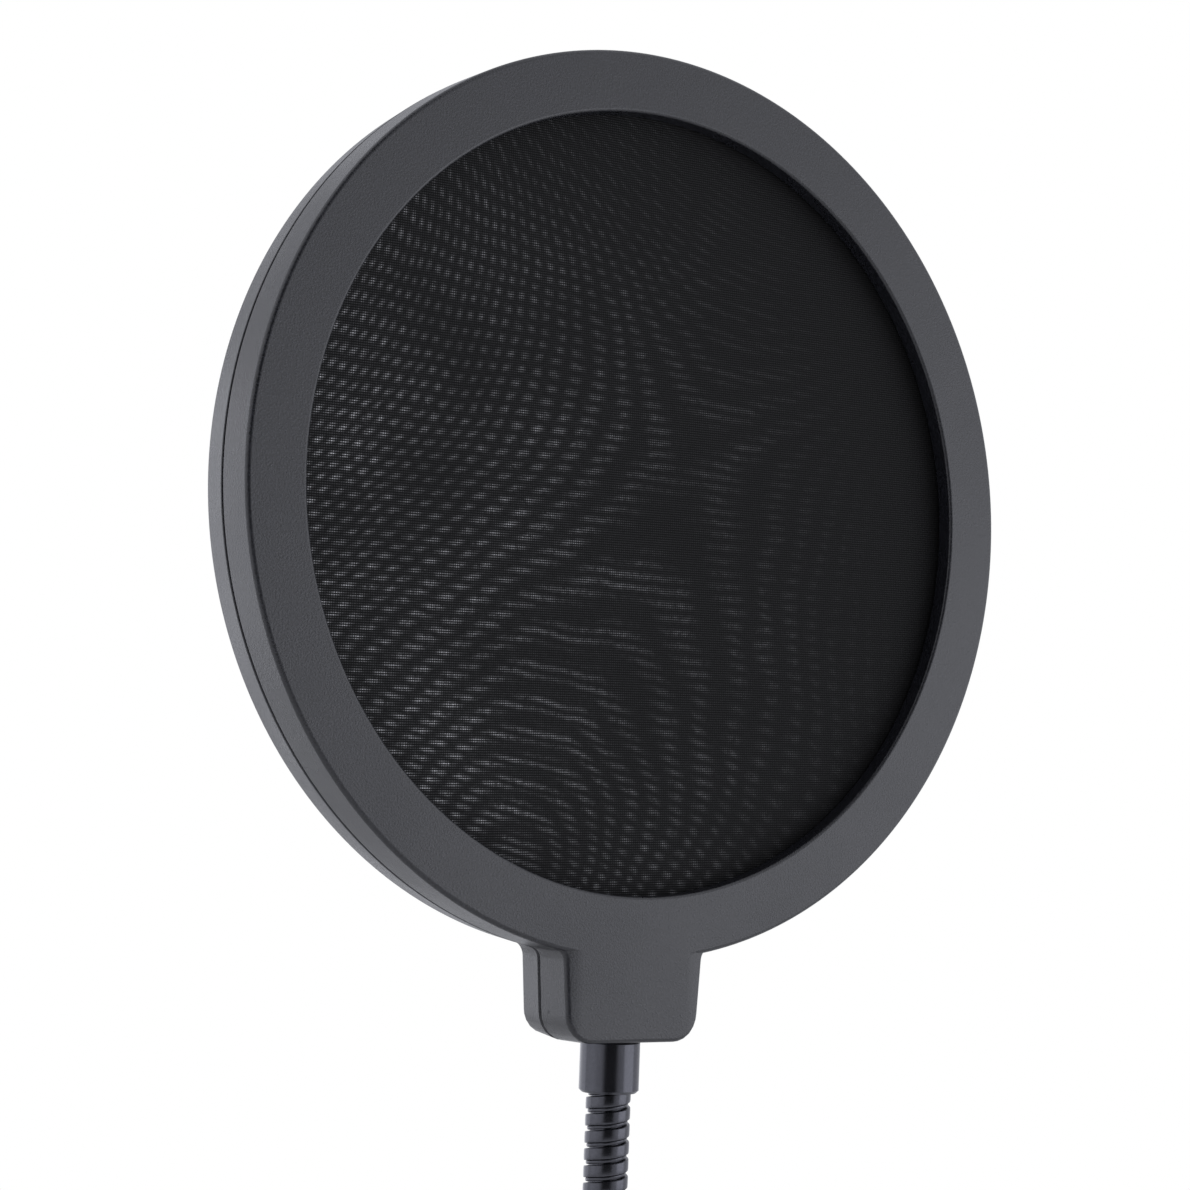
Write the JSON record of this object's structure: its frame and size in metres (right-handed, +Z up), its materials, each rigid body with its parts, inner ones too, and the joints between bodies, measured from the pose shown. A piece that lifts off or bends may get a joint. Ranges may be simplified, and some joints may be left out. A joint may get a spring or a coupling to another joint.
{
  "type": "pop filter",
  "caption": "Round twin-screen microphone pop filter on a flexible gooseneck, with a swivelling screw clamp for a stand tube or a table edge.",
  "frame": {"origin": "middle of the fixed jaw's rubber face", "axes": "+X from the fixed jaw along the clamp screw to the knob, +Z up along the straight gooseneck, and the head's front faces -Y"},
  "size_m": [0.1699, 0.0612, 0.53],
  "materials": {
    "frame_plastic": "fine-grained matte moulding, dark grey",
    "screen_nylon": "stretched black nylon weave",
    "spacer_plastic": "plain black moulding, hidden between the screens",
    "black_metal": "glossy black lacquer over steel",
    "clamp_plastic": "black moulding with a fine texture",
    "rubber": "dull black rubber with ribs",
    "zinc": "bright zinc plate",
    "brass": "turned brass"
  },
  "bodies": {
    "clamp": {"clamp_frame": "clamp_plastic", "jaw_pad": "rubber", "clamp_nut": "brass", "swivel_bolt": "zinc", "swivel_washer": "zinc", "swivel_nut": "zinc"},
    "swivel": {"swivel_block": "clamp_plastic", "lower_ferrule": "black_metal", "neck_link_01": "black_metal"},
    "neck_02": {"neck_link_02": "black_metal"},
    "neck_03": {"neck_link_03": "black_metal"},
    "neck_04": {"neck_link_04": "black_metal"},
    "neck_05": {"neck_link_05": "black_metal"},
    "neck_06": {"neck_link_06": "black_metal"},
    "neck_07": {"neck_link_07": "black_metal"},
    "neck_08": {"neck_link_08": "black_metal"},
    "neck_09": {"neck_link_09": "black_metal"},
    "neck_10": {"neck_link_10": "black_metal"},
    "neck_11": {"neck_link_11": "black_metal"},
    "neck_12": {"neck_link_12": "black_metal"},
    "head": {"neck_link_13": "black_metal", "upper_ferrule": "black_metal", "neck_nut": "zinc", "front_frame": "frame_plastic", "rear_frame": "frame_plastic", "front_screen": "screen_nylon", "rear_screen": "screen_nylon", "spacer_ring": "spacer_plastic", "tab_screw_left": "zinc", "tab_screw_right": "zinc"},
    "moving_jaw": {"pad_face": "rubber", "pad_plate": "clamp_plastic"},
    "screw": {"pad_clip": "zinc", "clamp_screw": "zinc", "clamp_knob": "clamp_plastic", "knob_cap": "clamp_plastic"}
  },
  "joints": [
    {"name": "clamp_swivel", "type": "hinge", "parent": "clamp", "child": "swivel", "pos_m": [0.02885, -0.0374, 0], "axis": [0, -1, 0], "continuous": true},
    {"name": "neck_bend_01", "type": "hinge", "parent": "swivel", "child": "neck_02", "pos_m": [0.02885, -0.0374, 0.04308], "axis": [-1, 0, 0], "range_deg": [-15, 15]},
    {"name": "neck_bend_02", "type": "hinge", "parent": "neck_02", "child": "neck_03", "pos_m": [0.02885, -0.0374, 0.06807], "axis": [0, 1, 0], "range_deg": [-15, 15]},
    {"name": "neck_bend_03", "type": "hinge", "parent": "neck_03", "child": "neck_04", "pos_m": [0.02885, -0.0374, 0.09308], "axis": [-1, 0, 0], "range_deg": [-15, 15]},
    {"name": "neck_bend_04", "type": "hinge", "parent": "neck_04", "child": "neck_05", "pos_m": [0.02885, -0.0374, 0.11807], "axis": [0, 1, 0], "range_deg": [-15, 15]},
    {"name": "neck_bend_05", "type": "hinge", "parent": "neck_05", "child": "neck_06", "pos_m": [0.02885, -0.0374, 0.14308], "axis": [-1, 0, 0], "range_deg": [-15, 15]},
    {"name": "neck_bend_06", "type": "hinge", "parent": "neck_06", "child": "neck_07", "pos_m": [0.02885, -0.0374, 0.16808], "axis": [0, 1, 0], "range_deg": [-15, 15]},
    {"name": "neck_bend_07", "type": "hinge", "parent": "neck_07", "child": "neck_08", "pos_m": [0.02885, -0.0374, 0.19307], "axis": [-1, 0, 0], "range_deg": [-15, 15]},
    {"name": "neck_bend_08", "type": "hinge", "parent": "neck_08", "child": "neck_09", "pos_m": [0.02885, -0.0374, 0.21807], "axis": [0, 1, 0], "range_deg": [-15, 15]},
    {"name": "neck_bend_09", "type": "hinge", "parent": "neck_09", "child": "neck_10", "pos_m": [0.02885, -0.0374, 0.24308], "axis": [-1, 0, 0], "range_deg": [-15, 15]},
    {"name": "neck_bend_10", "type": "hinge", "parent": "neck_10", "child": "neck_11", "pos_m": [0.02885, -0.0374, 0.26808], "axis": [0, 1, 0], "range_deg": [-15, 15]},
    {"name": "neck_bend_11", "type": "hinge", "parent": "neck_11", "child": "neck_12", "pos_m": [0.02885, -0.0374, 0.29307], "axis": [-1, 0, 0], "range_deg": [-15, 15]},
    {"name": "neck_bend_12", "type": "hinge", "parent": "neck_12", "child": "head", "pos_m": [0.02885, -0.0374, 0.31807], "axis": [0, 1, 0], "range_deg": [-15, 15]},
    {"name": "jaw_travel", "type": "slide", "parent": "clamp", "child": "moving_jaw", "axis": [1, 0, 0], "range_m": [-0.025, 0.02]},
    {"name": "screw_turn", "type": "hinge", "parent": "moving_jaw", "child": "screw", "pos_m": [0.0328, 0, 0], "axis": [1, 0, 0], "range_deg": [-4500, 3600]}
  ],
  "couplings": [
    {"joint": "jaw_travel", "follows": "screw_turn", "m_per_rad": 0.0003183}
  ]
}
